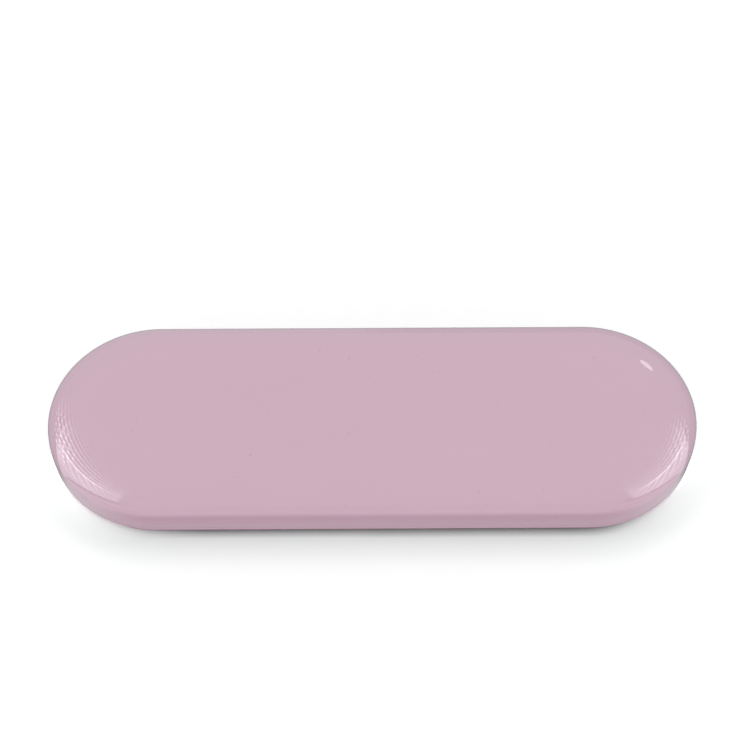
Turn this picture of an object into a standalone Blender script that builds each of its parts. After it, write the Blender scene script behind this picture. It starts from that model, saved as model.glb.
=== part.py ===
"""Hard case for tweezers: a deep lacquered lid on a barrel hinge, over a shallow base with a magnetic bed.

Metres, +Z up. +X runs along the case, -Y is the front and +Y the hinge side.
The origin is the middle of the flat underside. The lid is shown closed.
"""

import math

import bmesh
import bpy

# Gaps and overruns
TOUCH_GAP = 0.0003            # left between pieces that touch
RUNNING_GAP = 0.0003          # left between pieces that move past each other
PIN_GAP = 0.00025             # round a hinge pin, on the radius
GROUND_GAP = 0.0001           # under the hinge barrel and under the open lid
OVERRUN = 0.0005              # how far a cutter passes the face that it cuts

# Outline of the closed case: a straight middle and two half-round ends
CASE_LENGTH = 0.1700
CASE_WIDTH = 0.0582

# Lid
LID_THICKNESS = 0.0016
LID_WALL_HEIGHT = 0.0066
LID_WALL_LEAN = 0.0006        # how far the wall draws in from its top to its lower edge
SHOULDER_WIDTH = 0.0187
SHOULDER_HEIGHT = 0.0094
LID_EDGE_CHAMFER = 0.0003

# Base
SEAM_GAP = 0.0003             # between the base's rim and the lid's lower edge
RIM_HEIGHT = 0.0022
RIM_INSET = 0.0006            # from the lid's lower edge in to the rim
RIM_ROUND = 0.0018            # the rim's lower edge rounds under
RIM_ROUND_LIMIT_SHARE = 0.9   # of the rim's height
BASE_FLOOR = 0.0016
UPSTAND_HEIGHT = 0.0053       # above the rim, inside the lid's wall
UPSTAND_THICKNESS = 0.0014
UPSTAND_DRAFT = 0.00025
UPSTAND_CHAMFER = 0.0004

# Barrel hinge along the back
BARREL_RADIUS = 0.0022
HINGE_END_INSET = 0.0013      # from the end of the straight back to the end of the barrel
END_KNUCKLE_LENGTH = 0.0090
LID_KNUCKLE_LENGTH = 0.0260
NOTCH_STEP = 0.0003           # from the hinge notch to the upstand behind it
PIN_RADIUS = 0.0009
PIN_RECESS = 0.0005           # from the end of the barrel to the end of the pin
PIN_CHAMFER = 0.0002
PIN_REACH_SHARE = 0.55        # where a pin ends, along half of the middle knuckle

# Closing magnets
MAGNET_LENGTH = 0.0100
MAGNET_DEPTH = 0.0030
MAGNET_HEIGHT = 0.0020
MAGNET_BEVEL = 0.0002
HOLDER_WALL = 0.0009
HOLDER_END_INSET = 0.0047     # from the end of the straight front to the holder
HOLDER_ROOT_SHARE = 0.7       # how deep a holder is rooted, in the wall that carries it

# Tray
TRAY_THICKNESS = 0.0008
TRAY_DRAFT = 0.0003
TRAY_EDGE_ROUND = 0.0006

# Magnet strips under the bed
STRIP_THICKNESS = 0.0014
STRIP_WIDTH = 0.0120
STRIP_SPACING = 0.0760
STRIP_SIDE_INSET = 0.0028     # from the recess's side to the strip's end
STRIP_RIB = 0.0008

# Bed pad and lid liner
PAD_THICKNESS = 0.0012
PAD_CROWN = 0.0003
PAD_CROWN_WIDTH = 0.0040
PAD_EDGE_ROUND = 0.0005
PAD_SIDE_GAP = 0.0004
LINER_THICKNESS = 0.0008

# Fineness of the surfaces
END_STEPS = 24
WALL_STEPS = 2
SHOULDER_STEPS = 9
INNER_SHOULDER_STEPS = 6
RIM_STEPS = 3
BARREL_SIDES = 32
BORE_SIDES = 16
SHARP_ANGLE_DEGREES = 32

# Colours, and roughness and metallic values
PINK_LACQUER = (0.617, 0.423, 0.515)
BLUSH_FLOCK = (0.560, 0.400, 0.420)
ROSE_VELVET = (0.420, 0.230, 0.280)
NICKEL = (0.640, 0.630, 0.610)
STEEL = (0.560, 0.570, 0.580)
FERRITE = (0.030, 0.030, 0.032)

# Places that follow from the sizes
STRAIGHT_HALF = (CASE_LENGTH - CASE_WIDTH) / 2
CASE_RADIUS = CASE_WIDTH / 2
CROWN_RADIUS = CASE_RADIUS - SHOULDER_WIDTH
LID_EDGE_Z = RIM_HEIGHT + SEAM_GAP
SHOULDER_Z = LID_EDGE_Z + LID_WALL_HEIGHT
LID_EDGE_RADIUS = CASE_RADIUS - LID_WALL_LEAN
RIM_RADIUS = LID_EDGE_RADIUS - RIM_INSET

AXIS_Y = CASE_RADIUS - BARREL_RADIUS
AXIS_Z = BARREL_RADIUS + GROUND_GAP
AXIS_POINT = (0, AXIS_Y, AXIS_Z)
CLEAR_RADIUS = BARREL_RADIUS + RUNNING_GAP
NOTCH_Y = AXIS_Y - CLEAR_RADIUS
BASE_BACK_Y = AXIS_Y + LID_EDGE_Z - AXIS_Z - RUNNING_GAP

UPSTAND_RADIUS = LID_EDGE_RADIUS - LID_THICKNESS - RUNNING_GAP
UPSTAND_BACK_Y = NOTCH_Y - NOTCH_STEP
UPSTAND_TOP_Z = RIM_HEIGHT + UPSTAND_HEIGHT
INNER_RADIUS = UPSTAND_RADIUS - UPSTAND_DRAFT - UPSTAND_THICKNESS
INNER_BACK_Y = UPSTAND_BACK_Y - UPSTAND_DRAFT - UPSTAND_THICKNESS

HINGE_HALF = STRAIGHT_HALF - HINGE_END_INSET
LID_KNUCKLE_END = HINGE_HALF - END_KNUCKLE_LENGTH - RUNNING_GAP
MIDDLE_KNUCKLE_HALF = LID_KNUCKLE_END - LID_KNUCKLE_LENGTH - RUNNING_GAP
PIN_INNER_X = MIDDLE_KNUCKLE_HALF * PIN_REACH_SHARE
PIN_OUTER_X = HINGE_HALF - PIN_RECESS

HOLDER_HALF = MAGNET_LENGTH / 2 + TOUCH_GAP + HOLDER_WALL
MAGNET_X = STRAIGHT_HALF - HOLDER_END_INSET - HOLDER_HALF
MAGNET_Y = -(INNER_RADIUS - HOLDER_WALL - TOUCH_GAP - MAGNET_DEPTH / 2)
HOLDER_INNER_Y = MAGNET_Y + MAGNET_DEPTH / 2 + TOUCH_GAP + HOLDER_WALL
BASE_HOLDER_TOP_Z = UPSTAND_TOP_Z - TRAY_THICKNESS - TOUCH_GAP
LID_HOLDER_Z = UPSTAND_TOP_Z + TOUCH_GAP
LID_HOLDER_TOP_Z = LID_HOLDER_Z + MAGNET_HEIGHT + TOUCH_GAP + HOLDER_WALL
LINER_Z = LID_HOLDER_TOP_Z + TOUCH_GAP

TRAY_RADIUS = INNER_RADIUS - TOUCH_GAP
TRAY_BACK_Y = INNER_BACK_Y - TOUCH_GAP
RECESS_FRONT_Y = HOLDER_INNER_Y + TOUCH_GAP + TRAY_THICKNESS
SHELF_WIDTH = TRAY_RADIUS + RECESS_FRONT_Y
BED_Y = (TRAY_BACK_Y - TRAY_RADIUS) / 2
RECESS_RADIUS = BED_Y - RECESS_FRONT_Y
RECESS_HALF = STRAIGHT_HALF + TRAY_RADIUS - SHELF_WIDTH - RECESS_RADIUS
STRIP_Z = BASE_FLOOR + TOUCH_GAP
STRIP_TOP_Z = STRIP_Z + STRIP_THICKNESS
TRAY_FLOOR_Z = STRIP_TOP_Z + TOUCH_GAP + TRAY_THICKNESS
STRIP_HALF_LENGTH = RECESS_RADIUS - STRIP_SIDE_INSET
PAD_Z = TRAY_FLOOR_Z + TOUCH_GAP
PAD_RADIUS = RECESS_RADIUS - TRAY_DRAFT - PAD_SIDE_GAP


def clear_scene():
    """Take the scene's objects away."""
    for item in list(bpy.data.objects):
        bpy.data.objects.remove(item, do_unlink=True)


def principled(name, color, roughness, metallic=0.0, coat=0.0):
    """A material with one Principled BSDF."""
    material = bpy.data.materials.new(name)
    material.use_nodes = True
    shader = material.node_tree.nodes["Principled BSDF"]
    shader.inputs["Base Color"].default_value = (*color, 1)
    shader.inputs["Roughness"].default_value = roughness
    shader.inputs["Metallic"].default_value = metallic
    shader.inputs["Coat Weight"].default_value = coat
    material.diffuse_color = (*color, 1)
    return material


def stadium(radius, z, straight_half=STRAIGHT_HALF, back_y=None, center_y=0):
    """Ring of points round a stadium, anticlockwise from above; back_y cuts its back straight."""
    rise = radius if back_y is None else min(radius, back_y - center_y)
    front_angle = -math.pi / 2
    back_angle = math.asin(rise / radius)
    half_ring = []
    for step in range(END_STEPS + 1):
        angle = front_angle + (back_angle - front_angle) * step / END_STEPS
        half_ring.append((straight_half + radius * math.cos(angle), radius * math.sin(angle)))
    right_end = [(x, center_y + y, z) for x, y in half_ring]
    left_end = [(-x, center_y + y, z) for x, y in reversed(half_ring)]
    return right_end + left_end


def rectangle(x_low, x_high, y_low, y_high, z):
    """Ring of the four corners of a level rectangle."""
    return [(x_low, y_low, z), (x_high, y_low, z), (x_high, y_high, z), (x_low, y_high, z)]


def circle_along_x(x, radius, sides):
    """Ring of points round the hinge's axis, at x."""
    turns = [2 * math.pi * side / sides for side in range(sides)]
    return [(x, AXIS_Y + radius * math.cos(turn), AXIS_Z + radius * math.sin(turn)) for turn in turns]


def loft(rings, closed=False):
    """Body skinned over rings of equal count: a flat cap on each end, or the last ring joined to the first."""
    body = bmesh.new()
    loops = [[body.verts.new(point) for point in ring] for ring in rings]
    pairs = list(zip(loops, loops[1:]))
    if closed:
        pairs.append((loops[-1], loops[0]))
    else:
        body.faces.new(loops[0])
        body.faces.new(loops[-1])
    for near, far in pairs:
        for here in range(len(near)):
            there = (here + 1) % len(near)
            body.faces.new((near[here], near[there], far[there], far[here]))
    bmesh.ops.recalc_face_normals(body, faces=body.faces)
    return body


def block(x_low, x_high, y_low, y_high, z_low, z_high):
    """Body of a plain block."""
    return loft([rectangle(x_low, x_high, y_low, y_high, z) for z in (z_low, z_high)])


def rod(x_low, x_high, radius, sides, chamfer=0):
    """Body of a round rod on the hinge's axis."""
    if not chamfer:
        return loft([circle_along_x(x, radius, sides) for x in (x_low, x_high)])
    stations = (
        (x_low, radius - chamfer),
        (x_low + chamfer, radius),
        (x_high - chamfer, radius),
        (x_high, radius - chamfer),
    )
    return loft([circle_along_x(x, size, sides) for x, size in stations])


def add_object(name, body, material, carrier=None):
    """Object of a body; a piece with a carrier has its origin there and is parented to it."""
    if carrier:
        bmesh.ops.translate(body, verts=body.verts, vec=-carrier.location)
    mesh = bpy.data.meshes.new(name)
    body.to_mesh(mesh)
    body.free()
    mesh.shade_smooth()
    mesh.set_sharp_from_angle(angle=math.radians(SHARP_ANGLE_DEGREES))
    mesh.materials.append(material)
    item = bpy.data.objects.new(name, mesh)
    item.parent = carrier
    bpy.context.collection.objects.link(item)
    return item


def combine(item, operation, label, body):
    """Join a body to an object, or cut it out of it, with an exact Boolean."""
    tool = add_object(f"{item.name}_{label}", body, item.data.materials[0], item.parent)
    tool.hide_render = True
    tool.display_type = "WIRE"
    modifier = item.modifiers.new(label, "BOOLEAN")
    modifier.operation = operation
    modifier.solver = "EXACT"
    modifier.object = tool


def bevel(item, width):
    """Break the edges of a small block."""
    modifier = item.modifiers.new("edges", "BEVEL")
    modifier.width = width
    modifier.segments = 1
    modifier.limit_method = "ANGLE"


def lid_form(inset, low_z, shoulder_steps):
    """Radius and height of the lid's form from low_z up to its flat crown, set in by inset."""
    points = []
    if low_z < SHOULDER_Z:
        for step in range(WALL_STEPS):
            below = (SHOULDER_Z - low_z) * (1 - step / WALL_STEPS)
            lean = LID_WALL_LEAN * (below / LID_WALL_HEIGHT) ** 2
            points.append((CASE_RADIUS - inset - lean, SHOULDER_Z - below))
    across = SHOULDER_WIDTH - inset
    rise = SHOULDER_HEIGHT - inset
    first_angle = math.asin(max(0, low_z - SHOULDER_Z) / rise)
    for step in range(shoulder_steps + 1):
        angle = first_angle + (math.pi / 2 - first_angle) * step / shoulder_steps
        points.append((CROWN_RADIUS + across * math.cos(angle), SHOULDER_Z + rise * math.sin(angle)))
    return points


def sides():
    """Name and direction of the left and the right."""
    return (("left", -1), ("right", 1))


def between(side, near_x, far_x):
    """The two ends of a stretch from near_x to far_x on one side, lowest first."""
    return sorted((side * near_x, side * far_x))


def strip_span(side):
    """Lowest and highest x of a magnet strip."""
    return between(side, (STRIP_SPACING - STRIP_WIDTH) / 2, (STRIP_SPACING + STRIP_WIDTH) / 2)


def base_shell(material):
    """Shallow base: flat underside, rounded-under rim, upstand, hinge knuckles, holders and pockets."""
    rounding = min(RIM_ROUND, RIM_HEIGHT * RIM_ROUND_LIMIT_SHARE)
    rings = []
    for step in range(RIM_STEPS + 1):
        angle = math.pi / 2 * step / RIM_STEPS
        inset = rounding * (1 - math.sin(angle))
        height = rounding * (1 - math.cos(angle))
        rings.append(stadium(RIM_RADIUS - inset, height, back_y=BASE_BACK_Y - inset))
    top_radius = UPSTAND_RADIUS - UPSTAND_DRAFT
    top_back_y = UPSTAND_BACK_Y - UPSTAND_DRAFT
    rings += [
        stadium(RIM_RADIUS, RIM_HEIGHT, back_y=BASE_BACK_Y),
        stadium(UPSTAND_RADIUS, RIM_HEIGHT, back_y=UPSTAND_BACK_Y),
        stadium(top_radius, UPSTAND_TOP_Z - UPSTAND_CHAMFER, back_y=top_back_y),
        stadium(top_radius - UPSTAND_CHAMFER, UPSTAND_TOP_Z, back_y=top_back_y - UPSTAND_CHAMFER),
        stadium(INNER_RADIUS, UPSTAND_TOP_Z, back_y=INNER_BACK_Y),
        stadium(INNER_RADIUS, BASE_FLOOR, back_y=INNER_BACK_Y),
    ]
    shell = add_object("base_shell", loft(rings), material)
    combine(shell, "UNION", "barrel", rod(-HINGE_HALF, HINGE_HALF, BARREL_RADIUS, BARREL_SIDES))
    root = UPSTAND_THICKNESS * HOLDER_ROOT_SHARE
    sink = BASE_FLOOR * HOLDER_ROOT_SHARE
    rib_gap = TOUCH_GAP + STRIP_RIB
    for label, side in sides():
        middle = side * MAGNET_X
        holder = block(
            middle - HOLDER_HALF, middle + HOLDER_HALF, -INNER_RADIUS - root, HOLDER_INNER_Y,
            BASE_FLOOR - sink, BASE_HOLDER_TOP_Z,
        )
        combine(shell, "UNION", f"holder_{label}", holder)
        low_x, high_x = strip_span(side)
        outer = (low_x - rib_gap, high_x + rib_gap, BED_Y - STRIP_HALF_LENGTH - rib_gap,
                 BED_Y + STRIP_HALF_LENGTH + rib_gap)
        inner = (low_x - TOUCH_GAP, high_x + TOUCH_GAP, BED_Y - STRIP_HALF_LENGTH - TOUCH_GAP,
                 BED_Y + STRIP_HALF_LENGTH + TOUCH_GAP)
        rib_low = BASE_FLOOR - sink
        ribs = loft([
            rectangle(*outer, rib_low), rectangle(*outer, STRIP_TOP_Z),
            rectangle(*inner, STRIP_TOP_Z), rectangle(*inner, rib_low),
        ], closed=True)
        combine(shell, "UNION", f"ribs_{label}", ribs)
    for label, side in sides():
        low_x, high_x = between(side, MIDDLE_KNUCKLE_HALF, LID_KNUCKLE_END + RUNNING_GAP)
        notch = block(
            low_x, high_x, NOTCH_Y, CASE_RADIUS + OVERRUN,
            -OVERRUN, AXIS_Z + BARREL_RADIUS + OVERRUN,
        )
        combine(shell, "DIFFERENCE", f"notch_{label}", notch)
        low_x, high_x = between(side, PIN_INNER_X - PIN_GAP, HINGE_HALF + OVERRUN)
        bore = rod(low_x, high_x, PIN_RADIUS + PIN_GAP, BORE_SIDES)
        combine(shell, "DIFFERENCE", f"bore_{label}", bore)
        middle = side * MAGNET_X
        pocket = block(
            middle - MAGNET_LENGTH / 2 - TOUCH_GAP, middle + MAGNET_LENGTH / 2 + TOUCH_GAP,
            MAGNET_Y - MAGNET_DEPTH / 2 - TOUCH_GAP, MAGNET_Y + MAGNET_DEPTH / 2 + TOUCH_GAP,
            BASE_HOLDER_TOP_Z - MAGNET_HEIGHT - TOUCH_GAP, BASE_HOLDER_TOP_Z + OVERRUN,
        )
        combine(shell, "DIFFERENCE", f"pocket_{label}", pocket)
    return shell


def bed_tray(material):
    """Formed tray: a shelf all round, resting inside the upstand, and a recess with drafted sides."""
    def recess(grow, z):
        return stadium(RECESS_RADIUS + grow, z, straight_half=RECESS_HALF, center_y=BED_Y)

    under_z = UPSTAND_TOP_Z - TRAY_THICKNESS
    rings = [
        recess(-TRAY_DRAFT, TRAY_FLOOR_Z),
        recess(-TRAY_EDGE_ROUND / 2, UPSTAND_TOP_Z - TRAY_EDGE_ROUND),
        recess(TRAY_EDGE_ROUND / 2, UPSTAND_TOP_Z),
        stadium(TRAY_RADIUS, UPSTAND_TOP_Z, back_y=TRAY_BACK_Y),
        stadium(TRAY_RADIUS, under_z, back_y=TRAY_BACK_Y),
        recess(TRAY_THICKNESS, under_z),
        recess(TRAY_THICKNESS - TRAY_DRAFT, TRAY_FLOOR_Z - TRAY_THICKNESS),
    ]
    return add_object("bed_tray", loft(rings), material)


def bed_pad(material):
    """Thin velvet pad on the tray's floor, with rounded edges and a slight crown."""
    def outline(inset, z):
        return stadium(PAD_RADIUS - inset, z, straight_half=RECESS_HALF, center_y=BED_Y)

    top_z = PAD_Z + PAD_THICKNESS
    rings = [
        outline(PAD_EDGE_ROUND, PAD_Z),
        outline(0, PAD_Z + PAD_EDGE_ROUND),
        outline(0, top_z - PAD_EDGE_ROUND),
        outline(PAD_EDGE_ROUND, top_z),
        outline(PAD_EDGE_ROUND + PAD_CROWN_WIDTH, top_z + PAD_CROWN),
    ]
    return add_object("bed_pad", loft(rings), material)


def magnet_strips(material):
    """Two flat magnets across the case, in the pockets under the bed."""
    for label, side in sides():
        low_x, high_x = strip_span(side)
        body = block(
            low_x, high_x, BED_Y - STRIP_HALF_LENGTH, BED_Y + STRIP_HALF_LENGTH, STRIP_Z, STRIP_TOP_Z
        )
        bevel(add_object(f"magnet_strip_{label}", body, material), MAGNET_BEVEL)


def closing_magnets(prefix, low_z, material, carrier=None):
    """Two block magnets in their holders, one at each side of the front."""
    for label, side in sides():
        middle = side * MAGNET_X
        body = block(
            middle - MAGNET_LENGTH / 2, middle + MAGNET_LENGTH / 2,
            MAGNET_Y - MAGNET_DEPTH / 2, MAGNET_Y + MAGNET_DEPTH / 2,
            low_z, low_z + MAGNET_HEIGHT,
        )
        bevel(add_object(f"{prefix}_magnet_{label}", body, material, carrier), MAGNET_BEVEL)


def hinge_pins(material):
    """Two steel pins, each through an end knuckle and a lid knuckle into the middle one."""
    for label, side in sides():
        low_x, high_x = between(side, PIN_INNER_X, PIN_OUTER_X)
        body = rod(low_x, high_x, PIN_RADIUS, BORE_SIDES, chamfer=PIN_CHAMFER)
        add_object(f"hinge_pin_{label}", body, material)


def lid_shell(material, carrier):
    """Deep lid: leaning wall, wide elliptical shoulder, flat crown, hinge knuckles and magnet holders."""
    outside = lid_form(0, LID_EDGE_Z + LID_EDGE_CHAMFER, SHOULDER_STEPS)
    inside = lid_form(LID_THICKNESS, LID_EDGE_Z, INNER_SHOULDER_STEPS)
    edge = [(outside[0][0] - LID_EDGE_CHAMFER, LID_EDGE_Z)]
    profile = outside[::-1] + edge + inside
    shell = add_object("lid_shell", loft([stadium(radius, z) for radius, z in profile]), material, carrier)
    barrel = rod(-LID_KNUCKLE_END, LID_KNUCKLE_END, BARREL_RADIUS, BARREL_SIDES)
    combine(shell, "UNION", "barrel", barrel)
    inner_reach = [radius for radius, z in inside if z <= LID_HOLDER_TOP_Z]
    root_y = -(inner_reach[-1] + LID_THICKNESS * HOLDER_ROOT_SHARE)
    for label, side in sides():
        middle = side * MAGNET_X
        holder = block(
            middle - HOLDER_HALF, middle + HOLDER_HALF, root_y, HOLDER_INNER_Y,
            LID_HOLDER_Z, LID_HOLDER_TOP_Z,
        )
        combine(shell, "UNION", f"holder_{label}", holder)
    middle_end = MIDDLE_KNUCKLE_HALF + RUNNING_GAP
    combine(shell, "DIFFERENCE", "relief_middle", rod(-middle_end, middle_end, CLEAR_RADIUS, BARREL_SIDES))
    for label, side in sides():
        low_x, high_x = between(side, LID_KNUCKLE_END, HINGE_HALF + RUNNING_GAP)
        relief = rod(low_x, high_x, CLEAR_RADIUS, BARREL_SIDES)
        combine(shell, "DIFFERENCE", f"relief_{label}", relief)
        low_x, high_x = between(side, PIN_INNER_X, HINGE_HALF)
        bore = rod(low_x, high_x, PIN_RADIUS + PIN_GAP, BORE_SIDES)
        combine(shell, "DIFFERENCE", f"bore_{label}", bore)
        middle = side * MAGNET_X
        pocket = block(
            middle - MAGNET_LENGTH / 2 - TOUCH_GAP, middle + MAGNET_LENGTH / 2 + TOUCH_GAP,
            MAGNET_Y - MAGNET_DEPTH / 2 - TOUCH_GAP, MAGNET_Y + MAGNET_DEPTH / 2 + TOUCH_GAP,
            LID_HOLDER_Z - OVERRUN, LID_HOLDER_Z + MAGNET_HEIGHT + TOUCH_GAP,
        )
        combine(shell, "DIFFERENCE", f"pocket_{label}", pocket)
    return shell


def lid_liner(material, carrier):
    """Thin formed lining under the shoulder and the crown, ending above the magnet holders."""
    outer = lid_form(LID_THICKNESS + TOUCH_GAP, LINER_Z, INNER_SHOULDER_STEPS)
    inner = lid_form(LID_THICKNESS + TOUCH_GAP + LINER_THICKNESS, LINER_Z, INNER_SHOULDER_STEPS)
    profile = outer[::-1] + inner
    return add_object("lid_liner", loft([stadium(radius, z) for radius, z in profile]), material, carrier)


def hinge_axis():
    """Empty on the hinge's axis, which carries the lid's pieces."""
    axis = bpy.data.objects.new("hinge_axis", None)
    axis.location = AXIS_POINT
    bpy.context.collection.objects.link(axis)
    return axis


def build():
    """Make every piece of the case."""
    clear_scene()
    base_shell(principled("base_lacquer", PINK_LACQUER, 0.12, coat=0.5))
    bed_tray(principled("tray_flock", BLUSH_FLOCK, 0.95))
    bed_pad(principled("pad_velvet", ROSE_VELVET, 0.98))
    magnet_strips(principled("strip_ferrite", FERRITE, 0.7))
    closing_magnets(
        "base", BASE_HOLDER_TOP_Z - MAGNET_HEIGHT, principled("base_magnet_nickel", NICKEL, 0.25, 1.0)
    )
    hinge_pins(principled("pin_steel", STEEL, 0.3, 1.0))
    axis = hinge_axis()
    lid_shell(principled("lid_lacquer", PINK_LACQUER, 0.12, coat=0.5), axis)
    lid_liner(principled("liner_flock", BLUSH_FLOCK, 0.95), axis)
    closing_magnets("lid", LID_HOLDER_Z, principled("lid_magnet_nickel", NICKEL, 0.25, 1.0), axis)


build()
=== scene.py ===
import math

import bmesh
import bpy
from mathutils import Matrix, Vector


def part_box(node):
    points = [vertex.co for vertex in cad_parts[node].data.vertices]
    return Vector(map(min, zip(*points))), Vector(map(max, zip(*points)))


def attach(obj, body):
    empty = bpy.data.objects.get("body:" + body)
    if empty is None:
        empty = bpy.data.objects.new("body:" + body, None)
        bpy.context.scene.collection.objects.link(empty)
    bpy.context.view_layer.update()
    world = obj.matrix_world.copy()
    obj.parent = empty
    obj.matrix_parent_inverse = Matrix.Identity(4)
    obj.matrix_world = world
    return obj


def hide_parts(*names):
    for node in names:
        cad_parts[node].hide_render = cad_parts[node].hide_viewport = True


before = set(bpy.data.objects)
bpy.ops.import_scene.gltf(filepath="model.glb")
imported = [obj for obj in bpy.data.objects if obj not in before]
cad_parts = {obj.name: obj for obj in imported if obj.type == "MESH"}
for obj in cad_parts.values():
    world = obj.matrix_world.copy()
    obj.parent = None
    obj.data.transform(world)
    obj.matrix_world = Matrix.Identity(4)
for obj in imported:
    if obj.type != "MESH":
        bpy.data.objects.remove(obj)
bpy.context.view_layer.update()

# Looks of a closed hard case for tweezers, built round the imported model.
# Metres, +Z up. +X runs along the case, -Y is the front and +Y the hinge side.

# Sizes read from the frame
LID_LOW, LID_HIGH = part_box("lid_shell")
_, BASE_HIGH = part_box("base_shell")
LINER_LOW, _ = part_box("lid_liner")
TRAY_LOW, TRAY_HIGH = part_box("bed_tray")
PAD_LOW, PAD_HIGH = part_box("bed_pad")
STRIP_LOW, STRIP_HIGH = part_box("magnet_strip_right")
LID_MAGNET_LOW, LID_MAGNET_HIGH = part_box("lid_magnet_right")
BASE_MAGNET_LOW, BASE_MAGNET_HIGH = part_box("base_magnet_right")
PIN_LOW, PIN_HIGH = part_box("hinge_pin_right")

# Clearances, as in the frame
TOUCH_GAP = 0.0003
RUNNING_GAP = 0.0003
PIN_GAP = 0.00025
OVERRUN = 0.0005

# Outline and lid
CASE_RADIUS = LID_HIGH.y
STRAIGHT_HALF = LID_HIGH.x - CASE_RADIUS
LID_THICKNESS = 0.0016
LID_WALL_LEAN = 0.0006
SHOULDER_WIDTH = 0.0187
SHOULDER_HEIGHT = 0.0094
SHOULDER_Z = LID_HIGH.z - SHOULDER_HEIGHT
CROWN_RADIUS = CASE_RADIUS - SHOULDER_WIDTH
LID_EDGE_RADIUS = CASE_RADIUS - LID_WALL_LEAN
LID_WALL_HEIGHT = 0.0066
LID_EDGE_Z = SHOULDER_Z - LID_WALL_HEIGHT
LID_EDGE_ROUND = 0.0003
CROWN_STEP = 0.0003

# Bead along the lid's edge, with shares of its height and of its depth there
LID_BEAD = 0.00012
LID_BEAD_HEIGHT = 0.0007
LID_BEAD_SHARES = ((0.0, 1.0), (0.55, 1.0), (0.75, 0.6), (1.0, 0.0))

# Base
RIM_HEIGHT = LID_EDGE_Z - RUNNING_GAP
RIM_RADIUS = BASE_HIGH.x - STRAIGHT_HALF
RIM_ROUND = 0.0018
RIM_TOP_ROUND = 0.0002
BASE_FLOOR = 0.0016
FLOOR_FILLET = 0.0006
UPSTAND_TOP_Z = BASE_HIGH.z
UPSTAND_THICKNESS = 0.0014
UPSTAND_DRAFT = 0.00025
UPSTAND_TOP_ROUND = 0.0004

# Barrel hinge
BARREL_RADIUS = 0.0022
AXIS_Y = LID_HIGH.y - BARREL_RADIUS
AXIS_Z = LID_LOW.z + BARREL_RADIUS
CLEAR_RADIUS = BARREL_RADIUS + RUNNING_GAP
HINGE_END_INSET = 0.0013
END_KNUCKLE_LENGTH = 0.0090
LID_KNUCKLE_LENGTH = 0.0260
KNUCKLE_CHAMFER = 0.0002
NOTCH_STEP = 0.0003
NOTCH_Y = AXIS_Y - CLEAR_RADIUS
BASE_BACK_Y = AXIS_Y + LID_EDGE_Z - AXIS_Z - RUNNING_GAP
HINGE_HALF = STRAIGHT_HALF - HINGE_END_INSET
LID_KNUCKLE_END = HINGE_HALF - END_KNUCKLE_LENGTH - RUNNING_GAP
LID_KNUCKLE_START = LID_KNUCKLE_END - LID_KNUCKLE_LENGTH
MIDDLE_KNUCKLE_HALF = LID_KNUCKLE_START - RUNNING_GAP
PIN_RADIUS = (PIN_HIGH.z - PIN_LOW.z) / 2
PIN_CHAMFER = 0.0002

# Upstand of the base, inside the lid's wall
UPSTAND_RADIUS = LID_EDGE_RADIUS - LID_THICKNESS - RUNNING_GAP
UPSTAND_BACK_Y = NOTCH_Y - NOTCH_STEP
INNER_RADIUS = UPSTAND_RADIUS - UPSTAND_DRAFT - UPSTAND_THICKNESS

# Closing magnets and their holders
HOLDER_WALL = 0.0009
HOLDER_ROOT_SHARE = 0.7
HOLDER_ROUND = 0.0003
MAGNET_ROUND = 0.0002
MAGNET_X = (LID_MAGNET_LOW.x + LID_MAGNET_HIGH.x) / 2
HOLDER_HALF = (LID_MAGNET_HIGH.x - LID_MAGNET_LOW.x) / 2 + TOUCH_GAP + HOLDER_WALL
HOLDER_INNER_Y = LID_MAGNET_HIGH.y + TOUCH_GAP + HOLDER_WALL
BASE_HOLDER_TOP_Z = BASE_MAGNET_HIGH.z
LID_HOLDER_Z = LID_MAGNET_LOW.z
LID_HOLDER_TOP_Z = LID_MAGNET_HIGH.z + TOUCH_GAP + HOLDER_WALL
STRIP_RIB = 0.0008

# Tray, pad and liner
TRAY_THICKNESS = 0.0008
TRAY_DRAFT = 0.0003
TRAY_RADIUS = TRAY_HIGH.x - STRAIGHT_HALF
TRAY_BACK_Y = TRAY_HIGH.y
TRAY_EDGE_ROUND = 0.0006
TRAY_CORNER_ROUND = 0.0007
BED_Y = (PAD_LOW.y + PAD_HIGH.y) / 2
PAD_RADIUS = (PAD_HIGH.y - PAD_LOW.y) / 2
RECESS_HALF = PAD_HIGH.x - PAD_RADIUS
RECESS_RADIUS = BED_Y - (HOLDER_INNER_Y + TOUCH_GAP + TRAY_THICKNESS)
TRAY_FLOOR_Z = TRAY_LOW.z + TRAY_THICKNESS
LINER_THICKNESS = 0.0008
LINER_EDGE_ROUND = 0.00035
PAD_EDGE_ROUND = 0.0006
PAD_LOW_ROUND = PAD_EDGE_ROUND * 0.6
PAD_MIDDLE_RADIUS = PAD_EDGE_ROUND * 1.5
PAD_CROWN = 0.0003
PAD_CROWN_WIDTH = 0.0045
PAD_CROWN_STEPS = 12
PAD_MIDDLE_STEPS = 6
PAD_WAVE_DEPTH = 0.00004
PAD_WAVE_X, PAD_SHIFT_X = 210, 0.7
PAD_WAVE_Y, PAD_SHIFT_Y = 330, 1.9
PAD_CROSS_X, PAD_CROSS_Y = 470, 390
PAD_CROSS_SHARE = 0.6

# Fineness of the surfaces
ARC_STEPS = 96
STRAIGHT_STEPS = 36
WALL_STEPS = 8
SHOULDER_STEPS = 44
INNER_SHOULDER_STEPS = 22
ROUND_STEPS = 5
RIM_STEPS = 8
KNUCKLE_SIDES = 96
BORE_SIDES = 48
BEVEL_STEPS = 3
FLOOR_SIDES = 128
SHARP_ANGLE = math.radians(32)

SIDES = {"left": -1, "right": 1}

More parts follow.
